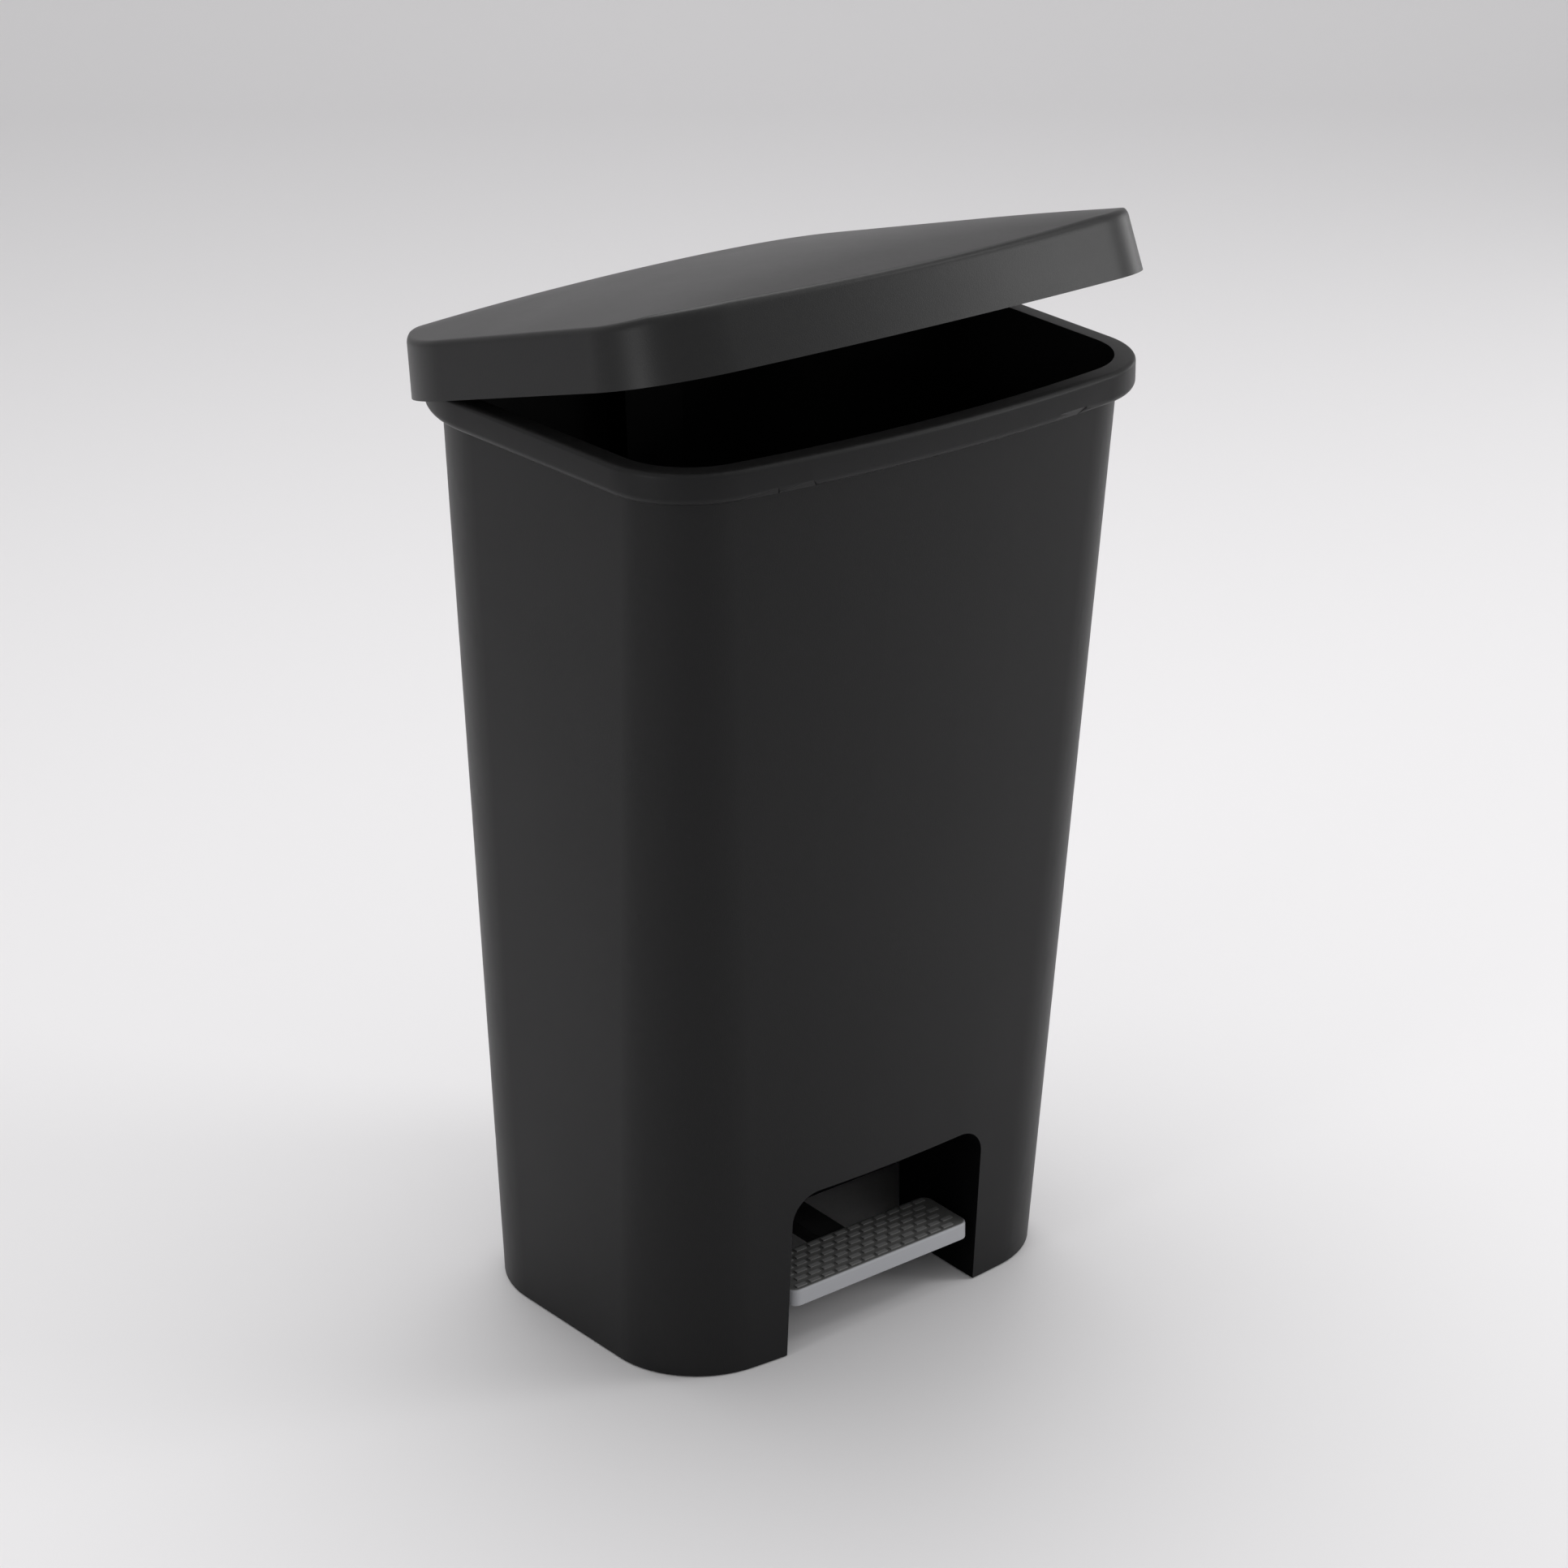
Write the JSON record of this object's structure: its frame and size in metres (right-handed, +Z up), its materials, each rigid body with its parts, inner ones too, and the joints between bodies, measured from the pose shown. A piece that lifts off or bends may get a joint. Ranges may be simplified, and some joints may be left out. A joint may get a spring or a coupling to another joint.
{
  "type": "pedal trash can",
  "caption": "Tall tapered plastic bin with a domed hinged lid that a foot pedal in a front recess lifts through a lever and a push rod.",
  "frame": {"origin": "on the floor, under the middle of the whole can with its lid ajar", "axes": "+X to the right seen from the front, +Y to the back, +Z up"},
  "size_m": [0.3874, 0.3254, 0.6909],
  "materials": {
    "black_pp": "fine satin grain",
    "black_pp_lid": "fine satin grain",
    "black_pp_cover": "fine satin grain",
    "black_nylon": "glass-filled nylon, dull",
    "grey_pedal": "satin",
    "acetal": "smooth",
    "rubber": "dull",
    "zinc_steel": "zinc plated",
    "rod_steel": "drawn wire, zinc plated"
  },
  "bodies": {
    "bin": {"can_body": "black_pp", "anti_slip_feet": "rubber", "pivot_bracket": "black_nylon", "bracket_screws": "zinc_steel", "pivot_pin": "zinc_steel", "pivot_pin_clip": "zinc_steel", "rod_guide_lower": "black_nylon", "rod_guide_upper": "black_nylon", "rear_channel_cover": "black_pp_cover", "cover_screws": "zinc_steel", "hinge_pin_right": "zinc_steel", "hinge_pin_left": "zinc_steel", "hinge_pin_caps": "zinc_steel"},
    "lid": {"lid_shell": "black_pp_lid", "lid_crank": "black_nylon", "crank_screws": "zinc_steel", "lid_buffers": "rubber"},
    "rod": {"push_rod": "rod_steel", "rod_top_clevis": "black_nylon", "rod_top_pin": "zinc_steel", "rod_bottom_clevis": "black_nylon", "rod_bottom_pin": "zinc_steel"},
    "pedal": {"pedal_lever": "black_nylon", "lever_bush": "acetal", "pedal_tread": "grey_pedal", "tread_screws": "zinc_steel"}
  },
  "joints": [
    {"name": "lid_hinge", "type": "hinge", "parent": "bin", "child": "lid", "pos_m": [0, 0.1525, 0.563], "axis": [-1, 0, 0], "range_deg": [-15.5, 49.5]},
    {"name": "rod_slide", "type": "slide", "parent": "bin", "child": "rod", "axis": [0, 0.0283, 0.9996], "range_m": [-0.00695, 0.02217]},
    {"name": "pedal_pivot", "type": "hinge", "parent": "bin", "child": "pedal", "pos_m": [0, 0.008, 0.034], "axis": [1, 0, 0], "range_deg": [-3.74, 11.95]}
  ],
  "couplings": [
    {"joint": "rod_slide", "follows": "lid_hinge", "m_per_rad": 0.025657},
    {"joint": "pedal_pivot", "follows": "lid_hinge", "ratio": 0.24136}
  ]
}
